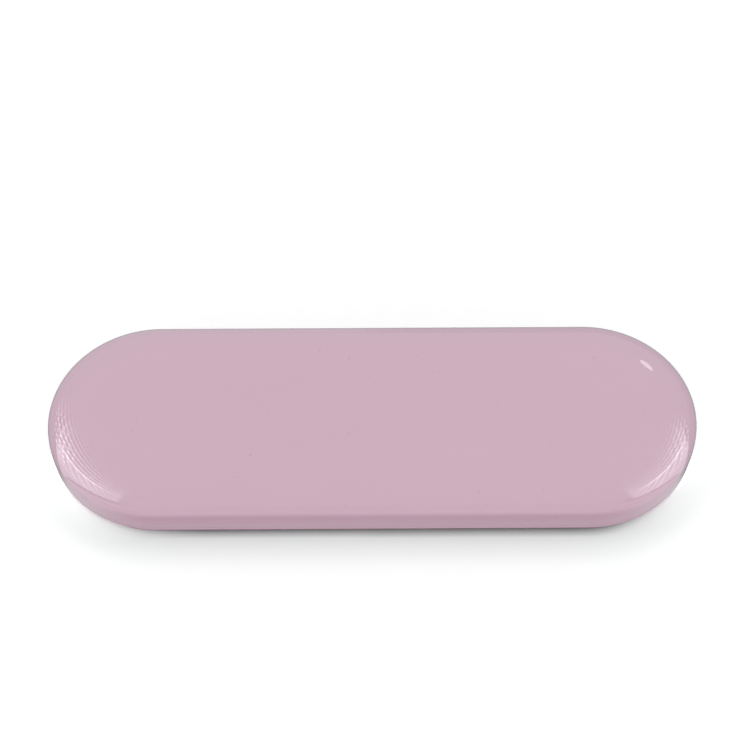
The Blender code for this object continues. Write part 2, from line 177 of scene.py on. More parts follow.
# Colours as linear values
WHITE = (1.0, 1.0, 1.0)
PINK = (0.606, 0.404, 0.498)
PINK_DEEP = (0.594, 0.392, 0.486)
BLUSH = (0.670, 0.470, 0.545)
BLUSH_DEEP = (0.570, 0.385, 0.455)
ROSE = (0.500, 0.265, 0.355)
ROSE_DEEP = (0.400, 0.200, 0.275)
NICKEL = (0.660, 0.645, 0.615)
NICKEL_DULL = (0.560, 0.545, 0.520)
STEEL = (0.580, 0.590, 0.600)
STEEL_DULL = (0.470, 0.480, 0.490)
FERRITE = (0.030, 0.029, 0.031)
FERRITE_GREY = (0.052, 0.050, 0.052)

# Lacquer, with sizes and depths in metres here and below
TONE_SIZE = 0.030
GRAIN_SIZE = 0.0005
GRAIN_ROUGHNESS = 0.015
DUST_SIZE = 0.0011
DUST_EDGE = (0.83, 0.87)
DUST_SHARE = 0.35
DUST_COLOR = (0.42, 0.30, 0.35)
SMEAR_SIZE = 0.012
SMEAR_RANGE = (0.35, 0.75)
SMEAR_ROUGHNESSES = (0.045, 0.085)
PEEL_SIZE = 0.0022
PEEL_DEPTH = 0.0000012
PLASTIC_IOR = 1.5
COAT_ROUGHNESS = 0.03

# Flock and velvet
NOISE_RANGE = (0.3, 0.7)
FLOCK_NAP, FLOCK_SHEEN, FLOCK_PILE = 0.00022, 0.35, 0.00008
VELVET_NAP, VELVET_SHEEN, VELVET_PILE = 0.00026, 0.60, 0.00012
PATCH_SIZE = 0.006
PATCH_SHARE = 0.30
FIBRE_SHARE = 0.70
STROKE_SIZE = 0.0025
STROKE_SHARE = 0.6
FLOCK_ROUGHNESSES = (0.86, 0.98)
SHEEN_ROUGHNESS = 0.35
FLOCK_SPECULAR = 0.15

# Metals and magnet sheet
LINE_SIZE = 0.0006
LINE_DEPTH = 0.000004
LINE_ROUGHNESS = 0.12
STAIN_SIZE = 0.0018
NICKEL_STRETCH, NICKEL_ROUGHNESS = (0.1, 1.0, 1.0), 0.16
STEEL_STRETCH, STEEL_ROUGHNESS = (1.0, 0.2, 0.2), 0.22
FERRITE_GRAIN = 0.0002
FERRITE_CLOUD = 0.004
FERRITE_ROUGHNESSES = (0.62, 0.80)
FERRITE_DEPTH = 0.00002

# Camera, fitted to the photograph in its 750 by 750 frame
PICTURE_SIZE = 750
FOCAL_PIXELS = 2989
SENSOR_WIDTH = 36.0
CAMERA_PITCH = math.radians(56)
CAMERA_YAW = 0.004
CAMERA_ROLL = 0.002
CAMERA_DISTANCE = 0.800
AIM_X = 0.00073
AIM_Y = 0.01945

# Floor, and its colour to the eye: levels where 1 is white, reaches in metres from the lid's
# lower edge. STARTS and STOPS are sines of the turn round each end, for left and right.
FLOOR_RADIUS = 3.0
FLOOR_COLOR = (0.92, 0.92, 0.92)
# Painted light on the floor to the eye: brighter the nearer it lies to the case, and brighter still
# at the lid's edge round the ends
OPEN_LEVEL = 1.055
OPEN_RISE = 0.50
OPEN_REACH = 0.0045
BACK_SHADOW_Y = (0.004, 0.024)
BACK_SHADOW_WIDTH = 0.007
EDGE_REACH = (-0.0004, 0.0007)
EDGE_LIFT = 0.75
EDGE_LIFT_Y = (-0.018, -0.010)
# Painted shadow on the floor to the eye: a soft shadow in front, and a dark contact band under the
# front edge
SHADOW_LEVELS = (1.043, 1.091)
SHADOW_END = (0.006, 0.010)
SHADOW_STARTS = (-1.055, -0.983)
SHADOW_STOPS = (-0.671, -0.436)
SHADOW_DRIFT = 0.17
SHADOW_DRIFT_REACH = (0.0, 0.006)
CONTACT_REACH = (-0.0020, 0.0014)
CONTACT_LEVEL = 0.17
CONTACT_Y = (-0.026, -0.010)
CONTACT_X = (0.046, 0.073)
CONTACT_MIDDLE = 0.004
# Painted colour against light: a faint green cast close by the case, offsetting the pink light that
# the case throws on the floor
BOUNCE_OFFSET_COLOR = (0.920, 1.000, 0.967)
BOUNCE_OFFSET_REACH = 0.010
FADE_START = 0.16
FADE_END = 0.45

# Studio light
SKY_LEVEL = 1.0
SIDE_BLEND = 0.01

# The floor as the lacquer mirrors it: reaches in metres, levels where 1 is white.
# GLEAM_FRONT_SLOPES and BACK_FLOOR_FAR are for left and right.
FRONT_DARK_REACH = (0.007, 0.033)
FRONT_DARK_LEVELS = (0.04, 0.74)
FOOT_START = (0.0002, 0.0012)
FOOT_REACH = (0.0015, 0.0065)
FOOT_LEVEL = 0.26
END_FLOOR_REACH = (0.002, 0.018)
END_FLOOR_LEVELS = (0.60, 1.00)
END_FLOOR_SLOPES = (-9.0, -2.5)
END_FLOOR_SHARE = 0.62
END_FLOOR_START = (0.058, 0.080)
GLEAM_APEX_X = 0.088
GLEAM_APEX_Y = -0.0135
GLEAM_FRONT_SLOPES = (0.63, 0.73)
GLEAM_BACK_SLOPE = 0.32
GLEAM_LEVELS = (1.2, 2.1)
GLEAM_REACH = (0.0, 0.08)
GLEAM_START = (-0.004, 0.006)
GLEAM_NEAREST = 0.004
GLEAM_FRONT_EDGE = (0.0, 0.07)
GLEAM_BACK_EDGE = (0.0, 0.06)
CREASE_SHARE = 0.12
CREASE_REACH = (-0.36, -0.02)
CREASE_START = (-0.004, 0.010)
BACK_FLOOR_EDGE = (-0.003, 0.003)
BACK_FLOOR_REACH = (0.003, 0.040)
BACK_FLOOR_NEAR = 0.34
BACK_FLOOR_FAR = (0.54, 0.44)

# The studio as the lacquer mirrors it. Forward is y, and height is z, over the distance to the
# side. SLOPES, STARTS, FRONTS, PERIODS, ROWS and the levels by side are for left and right.
BESIDE_LEAST = 0.02
WALL_BLEND = (-0.2, 0.2)
BACK_WALL_Z = (0.0, 0.75)
BACK_WALL_LEVELS = (0.62, 0.74)
FRONT_WALL_Z = (0.25, 0.42)
FRONT_WALL_LEVELS = (0.68, 0.77)
CREASE_SLOPES = (0.43, 0.345)
CREASE_RISE = 0.26
CREASE_EDGE = (0.0, 0.04)
CREASE_FRONT = (-1.8, -1.0)
CREASE_BACK = (-0.3, 0.0)
CREASE_TOP = (0.35, 0.55)
PANEL_FRONTS = (-1.42, -1.22)
PANEL_FRONT_EDGE = (-0.12, 0.15)
PANEL_BACK_SLOPE = 0.42
PANEL_BACK_STARTS = (0.30, 0.23)
PANEL_BACK_EDGE = (-0.02, 0.06)
STRIPE_SLOPE = 1.0
STRIPE_PERIOD = 0.28
STRIPE_DEPTH = 0.30
PALE_MIDDLE = -0.35
PALE_REACH = (0.0, 0.7)
PALE_LEVELS = (2.5, 1.9)
UPPER_REACH = (0.03, 1.0)
UPPER_LEVELS = (1.45, 0.78)
UPPER_EDGE = (-0.02, 0.05)
STREAK_ROWS = (0.36, 0.33)
STREAK_LEVEL = 3.0
STREAK_WIDTH = (0.015, 0.065)
STREAK_FRONT = (-0.95, -0.40)
STREAK_FRONT_SHARE = 0.25
STREAK_BACK = (0.05, 0.30)
FAN_BACK_SLOPE = 0.30
FAN_BACK_STARTS = (0.95, 0.55)
FAN_BACK_EDGE = (0.0, 0.25)
ROW_SLOPES = (0.57, 0.41)
ROW_PERIODS = (0.185, 0.165)
ROW_WAVE = (-0.3, 1.0)
ROW_WAVE_LEVELS = (-0.35, 1.0)
ROW_LEVELS = (1.70, 1.25)
ROW_START = (0.05, 0.12)
ROW_FADE = (0.1, 2.0)
ROW_BACK_FADE = (0.30, 0.95)
ROW_BACK_SHARE = 0.25
DOT_WAVE_FORWARDS = (-6.26, -7.20)
DOT_WAVE_HEIGHTS = (4.07, -5.32)
DOT_WAVE_SHIFTS = (1.88, 2.16)
DOT_SIZE = (0.2, 1.9)
DOT_LEVELS = (3.1, 2.0)
DOT_FRONT = (-0.10, 0.08)
DOT_TOP = (0.45, 0.95)
DOT_FADE = (0.20, 0.90)
DOT_BACK_SHARE = 0.12
LAMP_DIRECTION = (0.41, 0.80, 0.44)
LAMP_EDGE = (0.9994, 0.9998)
LAMP_LEVEL = 2.2


def ring_points(radius, z, straight_half=STRAIGHT_HALF, back_y=None, center_y=0.0):
    """Closed ring of points round a stadium, whose back is cut straight at back_y."""
    rise = radius if back_y is None else min(radius, back_y - center_y)
    front_angle = -math.pi / 2
    back_angle = math.asin(rise / radius)
    end = []
    for step in range(ARC_STEPS + 1):
        angle = front_angle + (back_angle - front_angle) * step / ARC_STEPS
        end.append((straight_half + radius * math.cos(angle), radius * math.sin(angle)))
    back_x, back = end[-1]
    front_x, front = end[0]
    inner_shares = [1 - 2 * step / STRAIGHT_STEPS for step in range(1, STRAIGHT_STEPS)]
    flat = list(end)
    flat += [(back_x * share, back) for share in inner_shares]
    flat += [(-x, y) for x, y in reversed(end)]
    flat += [(-front_x * share, front) for share in inner_shares]
    return [(x, center_y + y, z) for x, y in flat]


def skin(body, rings, closed=False):
    """Faces between rings of equal count, with end caps or, if closed, joined last to first."""
    loops = [[body.verts.new(point) for point in ring] for ring in rings]
    pairs = list(zip(loops, loops[1:]))
    if closed:
        pairs.append((loops[-1], loops[0]))
    else:
        body.faces.new(loops[0])
        body.faces.new(loops[-1])
    for near, far in pairs:
        for here in range(len(near)):
            there = (here + 1) % len(near)
            body.faces.new((near[here], near[there], far[there], far[here]))


def round_corner(inner, corner, outer, radius):
    """Points of a rounded corner of a profile of (radius, z) points."""
    here = Vector(corner)
    to_inner = (Vector(inner) - here).normalized()
    to_outer = (Vector(outer) - here).normalized()
    half = to_inner.angle(to_outer) / 2
    reach = radius / math.tan(half)
    center = here + (to_inner + to_outer).normalized() * (radius / math.sin(half))
    first = here + to_inner * reach - center
    last = here + to_outer * reach - center
    sweep = first.angle(last)
    points = []
    for step in range(ROUND_STEPS + 1):
        share = step / ROUND_STEPS
        near = math.sin((1 - share) * sweep) / math.sin(sweep)
        far = math.sin(share * sweep) / math.sin(sweep)
        spot = center + first * near + last * far
        points.append((spot.x, spot.y))
    return points


def lid_profile(inset, low_z, wall_steps, shoulder_steps):
    """Points (radius, z) of the lid's form from low_z up to its flat crown, set in by inset."""
    points = []
    if low_z < SHOULDER_Z:
        for step in range(wall_steps):
            below = (SHOULDER_Z - low_z) * (1 - step / wall_steps)
            lean = LID_WALL_LEAN * (below / LID_WALL_HEIGHT) ** 2
            points.append((CASE_RADIUS - inset - lean, SHOULDER_Z - below))
    across = SHOULDER_WIDTH - inset
    rise = SHOULDER_HEIGHT - inset
    first_angle = math.asin(max(0, low_z - SHOULDER_Z) / rise)
    for step in range(shoulder_steps + 1):
        angle = first_angle + (math.pi / 2 - first_angle) * step / shoulder_steps
        radius = CROWN_RADIUS + across * math.cos(angle)
        points.append((radius, SHOULDER_Z + rise * math.sin(angle)))
    return points


def box_points(low, high):
    return [
        [(low[0], low[1], z), (high[0], low[1], z), (high[0], high[1], z), (low[0], high[1], z)]
        for z in (low[2], high[2])
    ]


def add_block(body, low, high):
    """A plain block in a body."""
    skin(body, box_points(low, high))


def add_rod(body, low_x, high_x, radius, sides, chamfer=0.0):
    """A round rod on the hinge's axis, with chamfered ends if asked."""
    stations = [(low_x, radius), (high_x, radius)]
    if chamfer:
        stations = [
            (low_x, radius - chamfer), (low_x + chamfer, radius),
            (high_x - chamfer, radius), (high_x, radius - chamfer),
        ]
    turns = [2 * math.pi * side / sides for side in range(sides)]
    skin(body, [
        [(x, AXIS_Y + size * math.cos(turn), AXIS_Z + size * math.sin(turn)) for turn in turns]
        for x, size in stations
    ])


def to_object(name, body):
    """Object of a body, with its faces pointing out."""
    bmesh.ops.recalc_face_normals(body, faces=body.faces)
    mesh = bpy.data.meshes.new(name)
    body.to_mesh(mesh)
    body.free()
    item = bpy.data.objects.new(name, mesh)
    bpy.context.scene.collection.objects.link(item)
    return item


def apply_modifiers(item):
    """Swap the object's mesh for the one that its modifiers give."""
    bpy.context.view_layer.update()
    shown = item.evaluated_get(bpy.context.evaluated_depsgraph_get())
    mesh = bpy.data.meshes.new_from_object(shown)
    old = item.data
    item.modifiers.clear()
    item.data = mesh
    mesh.name = item.name
    bpy.data.meshes.remove(old)


def boolean(item, operation, tool):
    """Join a tool to an object, or cut it out of it, and take the tool away."""
    modifier = item.modifiers.new(operation, "BOOLEAN")
    modifier.operation = operation
    modifier.solver = "EXACT"
    modifier.object = tool
    apply_modifiers(item)
    bpy.data.objects.remove(tool, do_unlink=True)


def round_edges(item, width):
    """Round the sharp edges of a plain tool or block."""
    modifier = item.modifiers.new("round", "BEVEL")
    modifier.width = width
    modifier.segments = BEVEL_STEPS
    modifier.limit_method = "ANGLE"
    apply_modifiers(item)


def smooth(item, weighted):
    """Smooth shading with sharp edges by angle, and flat faces kept flat."""
    item.data.shade_smooth()
    item.data.set_sharp_from_angle(angle=SHARP_ANGLE)
    if weighted:
        modifier = item.modifiers.new("normals", "WEIGHTED_NORMAL")
        modifier.keep_sharp = True
        modifier.weight = 100
        apply_modifiers(item)


def finish_piece(item, body, nodes, material, weighted=True):
    """Shade a piece, give it its material, hang it on its body and hide the nodes that it stands
    for.
    """
    smooth(item, weighted)
    item.data.materials.clear()
    item.data.materials.append(material)
    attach(item, body)
    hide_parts(*nodes)


def span(side, near, far):
    """The two ends of a stretch on one side, lowest first."""
    return sorted((side * near, side * far))


class Graph:
    """Short way to write a node tree."""

    def __init__(self, tree):
        self.tree = tree

    def node(self, kind, inputs=None, **settings):
        node = self.tree.nodes.new(kind)
        for name, value in settings.items():
            setattr(node, name, value)
        for key, value in (inputs or {}).items():
            self.feed(node.inputs[key], value)
        return node

    def feed(self, socket, value):
        if isinstance(value, bpy.types.NodeSocket):
            self.tree.links.new(value, socket)
        elif isinstance(value, tuple) and len(value) == 3 and socket.type == "RGBA":
            socket.default_value = (*value, 1)
        else:
            socket.default_value = value

    def math(self, operation, first, second=0.0, third=0.0):
        node = self.node("ShaderNodeMath", operation=operation)
        self.feed(node.inputs[0], first)
        self.feed(node.inputs[1], second)
        if operation == "MULTIPLY_ADD":
            self.feed(node.inputs[2], third)
        return node.outputs[0]

    def ramp(self, value, low, high, low_out=0.0, high_out=1.0, smoothly=True):
        """Value carried from low..high to low_out..high_out."""
        node = self.node("ShaderNodeMapRange", clamp=True)
        node.interpolation_type = "SMOOTHSTEP" if smoothly else "LINEAR"
        for key, number in (("Value", value), ("From Min", low), ("From Max", high),
                            ("To Min", low_out), ("To Max", high_out)):
            self.feed(node.inputs[key], number)
        return node.outputs["Result"]

    def blend(self, share, first, second):
        """First where share is 0 and second where it is 1."""
        return self.ramp(share, 0, 1, first, second, smoothly=False)

    def right_share(self, x):
        """0 on the left and 1 on the right."""
        return self.ramp(x, -SIDE_BLEND, SIDE_BLEND)

    def by_side(self, right_share, pair):
        """The left or the right number of a pair."""
        return self.ramp(right_share, 0, 1, *pair)

    def product(self, first, *others):
        for other in others:
            first = self.math("MULTIPLY", first, other)
        return first

    def noise(self, place, size, detail=2.0, roughness=0.5):
        """Noise whose features are about size metres across."""
        node = self.node("ShaderNodeTexNoise", {
            "Vector": place, "Scale": 1 / size, "Detail": detail, "Roughness": roughness,
        })
        return node.outputs["Fac"]

    def mix(self, share, first, second):
        node = self.node("ShaderNodeMix", data_type="RGBA", clamp_factor=True)
        self.feed(node.inputs[0], share)
        self.feed(node.inputs[6], first)
        self.feed(node.inputs[7], second)
        return node.outputs[2]

    def bump(self, height, depth):
        node = self.node("ShaderNodeBump", {"Height": height, "Distance": depth, "Strength": 1.0})
        return node.outputs["Normal"]


def new_material(name):
    """Material with a Principled shader, its graph and the place on the object."""
    material = bpy.data.materials.new(name)
    material.use_nodes = True
    graph = Graph(material.node_tree)
    shader = material.node_tree.nodes["Principled BSDF"]
    place = graph.node("ShaderNodeTexCoord").outputs["Object"]
    return material, graph, shader, place


def lacquer(name):
    """Glossy pink moulded plastic with slight orange peel, faint smears and a few dust specks."""
    material, graph, shader, place = new_material(name)
    tone = graph.noise(place, TONE_SIZE, detail=3)
    color = graph.mix(tone, PINK_DEEP, PINK)
    grain = graph.noise(place, GRAIN_SIZE, detail=2)
    dust = graph.ramp(graph.noise(place, DUST_SIZE, detail=0), *DUST_EDGE)
    color = graph.mix(graph.math("MULTIPLY", dust, DUST_SHARE), color, DUST_COLOR)
    smear = graph.noise(place, SMEAR_SIZE, detail=4, roughness=0.6)
    rough = graph.ramp(smear, *SMEAR_RANGE, *SMEAR_ROUGHNESSES)
    rough = graph.math("MULTIPLY_ADD", grain, GRAIN_ROUGHNESS, rough)
    peel = graph.noise(place, PEEL_SIZE, detail=1)
    graph.feed(shader.inputs["Base Color"], color)
    graph.feed(shader.inputs["Roughness"], rough)
    graph.feed(shader.inputs["Normal"], graph.bump(peel, PEEL_DEPTH))
    shader.inputs["IOR"].default_value = PLASTIC_IOR
    shader.inputs["Coat Weight"].default_value = 1.0
    shader.inputs["Coat Roughness"].default_value = COAT_ROUGHNESS
    shader.inputs["Coat IOR"].default_value = PLASTIC_IOR
    return material


def flock(name, light, deep, nap, sheen, pile):
    """Flocked or velvet face: short fibres, a nap that lies in soft patches, and sheen."""
    material, graph, shader, place = new_material(name)
    fibre = graph.noise(place, nap, detail=3, roughness=0.7)
    patch = graph.noise(place, PATCH_SIZE, detail=3, roughness=0.6)
    stroke = graph.noise(place, STROKE_SIZE, detail=2)
    share = graph.math("MULTIPLY", patch, PATCH_SHARE)
    share = graph.math("MULTIPLY_ADD", fibre, FIBRE_SHARE, share)
    color = graph.mix(graph.ramp(share, *NOISE_RANGE), deep, light)
    height = graph.math("MULTIPLY_ADD", stroke, STROKE_SHARE, fibre)
    graph.feed(shader.inputs["Base Color"], color)
    graph.feed(shader.inputs["Roughness"], graph.ramp(patch, *NOISE_RANGE, *FLOCK_ROUGHNESSES))
    graph.feed(shader.inputs["Normal"], graph.bump(height, pile))
    shader.inputs["Sheen Weight"].default_value = sheen
    shader.inputs["Sheen Roughness"].default_value = SHEEN_ROUGHNESS
    shader.inputs["Sheen Tint"].default_value = (*light, 1)
    shader.inputs["Specular IOR Level"].default_value = FLOCK_SPECULAR
    return material


def metal(name, bright, dull, stretch, roughness):
    """Metal with fine machining lines, drawn out by stretch, and small stains."""
    material, graph, shader, place = new_material(name)
    stretched = graph.node("ShaderNodeMapping", {"Vector": place, "Scale": stretch}).outputs[0]
    lines = graph.noise(stretched, LINE_SIZE, detail=3, roughness=0.6)
    stain = graph.noise(place, STAIN_SIZE, detail=2)
    tone = graph.math("MULTIPLY_ADD", lines, 0.5, graph.math("MULTIPLY", stain, 0.5))
    graph.feed(shader.inputs["Base Color"], graph.mix(tone, dull, bright))
    rough = graph.ramp(lines, *NOISE_RANGE, roughness, roughness + LINE_ROUGHNESS)
    graph.feed(shader.inputs["Roughness"], rough)
    graph.feed(shader.inputs["Normal"], graph.bump(lines, LINE_DEPTH))
    shader.inputs["Metallic"].default_value = 1.0
    return material


def ferrite(name):
    """Dark rubber-bonded magnet sheet with a fine matt grain."""
    material, graph, shader, place = new_material(name)
    grain = graph.noise(place, FERRITE_GRAIN, detail=3, roughness=0.7)
    cloud = graph.noise(place, FERRITE_CLOUD, detail=2)
    tone = graph.math("MULTIPLY_ADD", grain, 0.5, graph.math("MULTIPLY", cloud, 0.5))
    graph.feed(shader.inputs["Base Color"], graph.mix(tone, FERRITE, FERRITE_GREY))
    graph.feed(shader.inputs["Roughness"], graph.ramp(grain, *NOISE_RANGE, *FERRITE_ROUGHNESSES))
    graph.feed(shader.inputs["Normal"], graph.bump(grain, FERRITE_DEPTH))
    return material


def bowl(name, outer, inner, outer_round, inner_round):
    """Upturned bowl between two profiles that start at its edge, with its edge rounded."""
    outer_edge = round_corner(inner[0], outer[0], outer[1], outer_round)
    inner_edge = round_corner(inner[1], inner[0], outer[0], inner_round)
    outer_crown = (outer[-1][0] - CROWN_STEP, outer[-1][1])
    inner_crown = (inner[-1][0] - CROWN_STEP, inner[-1][1])
    profile = [outer_crown] + outer[:0:-1] + outer_edge[::-1]
    profile += inner_edge[::-1] + inner[1:] + [inner_crown]
    body = bmesh.new()
    skin(body, [ring_points(radius, z) for radius, z in profile])
    return to_object(name, body)


def make_lid(material):
    """Deep lid with its rounded lower edge, hinge knuckles and magnet holders."""
    wall = lid_profile(0, LID_EDGE_Z, WALL_STEPS, SHOULDER_STEPS)
    edge_radius = wall[0][0]
    bead = [(edge_radius + LID_BEAD * rise, LID_EDGE_Z + LID_BEAD_HEIGHT * share)
            for share, rise in LID_BEAD_SHARES]
    wall = bead + wall[1:]
    inside = lid_profile(LID_THICKNESS, LID_EDGE_Z, WALL_STEPS, INNER_SHOULDER_STEPS)
    lid = bowl("lid_shell_gloss", wall, inside, LID_EDGE_ROUND, LID_EDGE_ROUND)

    body = bmesh.new()
    for side in SIDES.values():
        low_x, high_x = span(side, LID_KNUCKLE_END, HINGE_HALF + RUNNING_GAP)
        add_rod(body, low_x, high_x, CLEAR_RADIUS, KNUCKLE_SIDES)
    add_rod(body, -LID_KNUCKLE_START, LID_KNUCKLE_START, CLEAR_RADIUS, KNUCKLE_SIDES)
    boolean(lid, "DIFFERENCE", to_object("relief", body))

    inner_reach = [radius for radius, z in inside if z <= LID_HOLDER_TOP_Z]
    root_y = -(inner_reach[-1] + LID_THICKNESS * HOLDER_ROOT_SHARE)
    body = bmesh.new()
    for side in SIDES.values():
        middle = side * MAGNET_X
        add_block(body, (middle - HOLDER_HALF, root_y, LID_HOLDER_Z),
                  (middle + HOLDER_HALF, HOLDER_INNER_Y, LID_HOLDER_TOP_Z))
    holders = to_object("holders", body)
    round_edges(holders, HOLDER_ROUND)
    boolean(lid, "UNION", holders)

    body = bmesh.new()
    for side in SIDES.values():
        low_x, high_x = span(side, LID_KNUCKLE_START, LID_KNUCKLE_END)
        add_rod(body, low_x, high_x, BARREL_RADIUS, KNUCKLE_SIDES, KNUCKLE_CHAMFER)
    boolean(lid, "UNION", to_object("knuckles", body))

    body = bmesh.new()
    for side in SIDES.values():
        low_x, high_x = span(side, PIN_LOW.x, HINGE_HALF)
        add_rod(body, low_x, high_x, PIN_RADIUS + PIN_GAP, BORE_SIDES)
        middle = side * MAGNET_X
        half = (LID_MAGNET_HIGH.x - LID_MAGNET_LOW.x) / 2 + TOUCH_GAP
        add_block(body, (middle - half, LID_MAGNET_LOW.y - TOUCH_GAP, LID_HOLDER_Z - OVERRUN),
                  (middle + half, LID_MAGNET_HIGH.y + TOUCH_GAP, LID_MAGNET_HIGH.z + TOUCH_GAP))
    boolean(lid, "DIFFERENCE", to_object("bores", body))
    finish_piece(lid, "lid", ["lid_shell"], material)


def base_profile():
    """Points (radius, back_y, z) from the underside out, over the upstand and in to the floor."""
    profile = []
    for step in range(RIM_STEPS + 1):
        angle = math.pi / 2 * step / RIM_STEPS
        inset = RIM_ROUND * (1 - math.sin(angle))
        profile.append((RIM_RADIUS - inset, BASE_BACK_Y - inset, RIM_ROUND * (1 - math.cos(angle))))
    first_radius, first_back, _ = profile[0]
    profile.insert(0, (first_radius - RIM_TOP_ROUND, first_back - RIM_TOP_ROUND, 0.0))
    back_step = RIM_RADIUS - BASE_BACK_Y
    for radius, z in round_corner((RIM_RADIUS, 0), (RIM_RADIUS, RIM_HEIGHT),
                                  (UPSTAND_RADIUS, RIM_HEIGHT), RIM_TOP_ROUND):
        profile.append((radius, radius - back_step, z))
    top_radius = UPSTAND_RADIUS - UPSTAND_DRAFT
    back_step = UPSTAND_RADIUS - UPSTAND_BACK_Y
    profile.append((UPSTAND_RADIUS, UPSTAND_RADIUS - back_step, RIM_HEIGHT))
    for radius, z in round_corner((UPSTAND_RADIUS, RIM_HEIGHT), (top_radius, UPSTAND_TOP_Z),
                                  (INNER_RADIUS, UPSTAND_TOP_Z), UPSTAND_TOP_ROUND):
        profile.append((radius, radius - back_step, z))
    for corner, far, size in (
        ((INNER_RADIUS, UPSTAND_TOP_Z), (INNER_RADIUS, BASE_FLOOR), RIM_TOP_ROUND),
        ((INNER_RADIUS, BASE_FLOOR), (CROWN_RADIUS, BASE_FLOOR), FLOOR_FILLET),
    ):
        near_radius = top_radius if corner[1] == UPSTAND_TOP_Z else INNER_RADIUS
        for radius, z in round_corner((near_radius, UPSTAND_TOP_Z), corner, far, size):
            profile.append((radius, radius - back_step, z))
    last_radius, last_back, _ = profile[-1]
    profile.append((last_radius - RIM_TOP_ROUND, last_back - RIM_TOP_ROUND, BASE_FLOOR))
    return profile


def make_base(material):
    """Shallow base with a rounded rim, upstand, hinge knuckles, magnet holders and ribs."""
    body = bmesh.new()
    skin(body, [ring_points(radius, z, back_y=back_y) for radius, back_y, z in base_profile()])
    base = to_object("base_shell_gloss", body)

    body = bmesh.new()
    for side in SIDES.values():
        low_x, high_x = span(side, MIDDLE_KNUCKLE_HALF, LID_KNUCKLE_END + RUNNING_GAP)
        add_block(body, (low_x, NOTCH_Y, -OVERRUN),
                  (high_x, CASE_RADIUS + OVERRUN, AXIS_Z + BARREL_RADIUS + OVERRUN))
    boolean(base, "DIFFERENCE", to_object("notches", body))

    body = bmesh.new()
    add_rod(body, -MIDDLE_KNUCKLE_HALF, MIDDLE_KNUCKLE_HALF, BARREL_RADIUS,
            KNUCKLE_SIDES, KNUCKLE_CHAMFER)
    for side in SIDES.values():
        low_x, high_x = span(side, LID_KNUCKLE_END + RUNNING_GAP, HINGE_HALF)
        add_rod(body, low_x, high_x, BARREL_RADIUS, KNUCKLE_SIDES, KNUCKLE_CHAMFER)
    boolean(base, "UNION", to_object("knuckles", body))

    root = UPSTAND_THICKNESS * HOLDER_ROOT_SHARE
    sink = BASE_FLOOR * HOLDER_ROOT_SHARE
    body = bmesh.new()
    for side in SIDES.values():
        middle = side * MAGNET_X
        add_block(body, (middle - HOLDER_HALF, -INNER_RADIUS - root, BASE_FLOOR - sink),
                  (middle + HOLDER_HALF, HOLDER_INNER_Y, BASE_HOLDER_TOP_Z))
        low_x, high_x = span(side, STRIP_LOW.x, STRIP_HIGH.x)
        rib_z = (BASE_FLOOR - sink, STRIP_HIGH.z)
        rings = []
        for grow, heights in ((TOUCH_GAP + STRIP_RIB, rib_z), (TOUCH_GAP, rib_z[::-1])):
            rings += [[
                (low_x - grow, STRIP_LOW.y - grow, z), (high_x + grow, STRIP_LOW.y - grow, z),
                (high_x + grow, STRIP_HIGH.y + grow, z), (low_x - grow, STRIP_HIGH.y + grow, z),
            ] for z in heights]
        skin(body, rings, closed=True)
    boolean(base, "UNION", to_object("holders", body))

    body = bmesh.new()
    for side in SIDES.values():
        low_x, high_x = span(side, PIN_LOW.x - PIN_GAP, HINGE_HALF + OVERRUN)
        add_rod(body, low_x, high_x, PIN_RADIUS + PIN_GAP, BORE_SIDES)
        middle = side * MAGNET_X
        half = (BASE_MAGNET_HIGH.x - BASE_MAGNET_LOW.x) / 2 + TOUCH_GAP
        low_y, high_y = BASE_MAGNET_LOW.y - TOUCH_GAP, BASE_MAGNET_HIGH.y + TOUCH_GAP
        add_block(body, (middle - half, low_y, BASE_MAGNET_LOW.z - TOUCH_GAP),
                  (middle + half, high_y, BASE_HOLDER_TOP_Z + OVERRUN))
    boolean(base, "DIFFERENCE", to_object("bores", body))
    finish_piece(base, "base", ["base_shell"], material)


def make_tray(material):
    """Formed tray with a shelf all round and a recess with rounded edges."""
    def recess(grow, z):
        return ring_points(RECESS_RADIUS + grow, z, straight_half=RECESS_HALF, center_y=BED_Y)

    def shelf(inset, z):
        return ring_points(TRAY_RADIUS - inset, z, back_y=TRAY_BACK_Y - inset)

    top_z = UPSTAND_TOP_Z
    under_z = top_z - TRAY_THICKNESS
    foot = (-TRAY_DRAFT, TRAY_FLOOR_Z)
    inner = round_corner((-CROWN_RADIUS, TRAY_FLOOR_Z), foot, (0, top_z), TRAY_CORNER_ROUND)
    lip = round_corner(foot, (0, top_z), (CROWN_RADIUS, top_z), TRAY_EDGE_ROUND)
    rings = [recess(inner[0][0] - TRAY_EDGE_ROUND, TRAY_FLOOR_Z)]
    rings += [recess(grow, z) for grow, z in inner + lip]
    rim = round_corner((-CROWN_RADIUS, top_z), (0, top_z), (0, under_z), TRAY_THICKNESS / 3)
    rings += [shelf(-grow, z) for grow, z in rim]
    rings.append(shelf(0, under_z))
    rings.append(recess(TRAY_THICKNESS, under_z))
    rings.append(recess(TRAY_THICKNESS - TRAY_DRAFT, TRAY_FLOOR_Z))
    rings.append(recess(TRAY_THICKNESS - TRAY_DRAFT - TRAY_CORNER_ROUND, TRAY_LOW.z))
    body = bmesh.new()
    skin(body, rings)
    tray = to_object("bed_tray_flocked", body)
    finish_piece(tray, "base", ["bed_tray"], material)


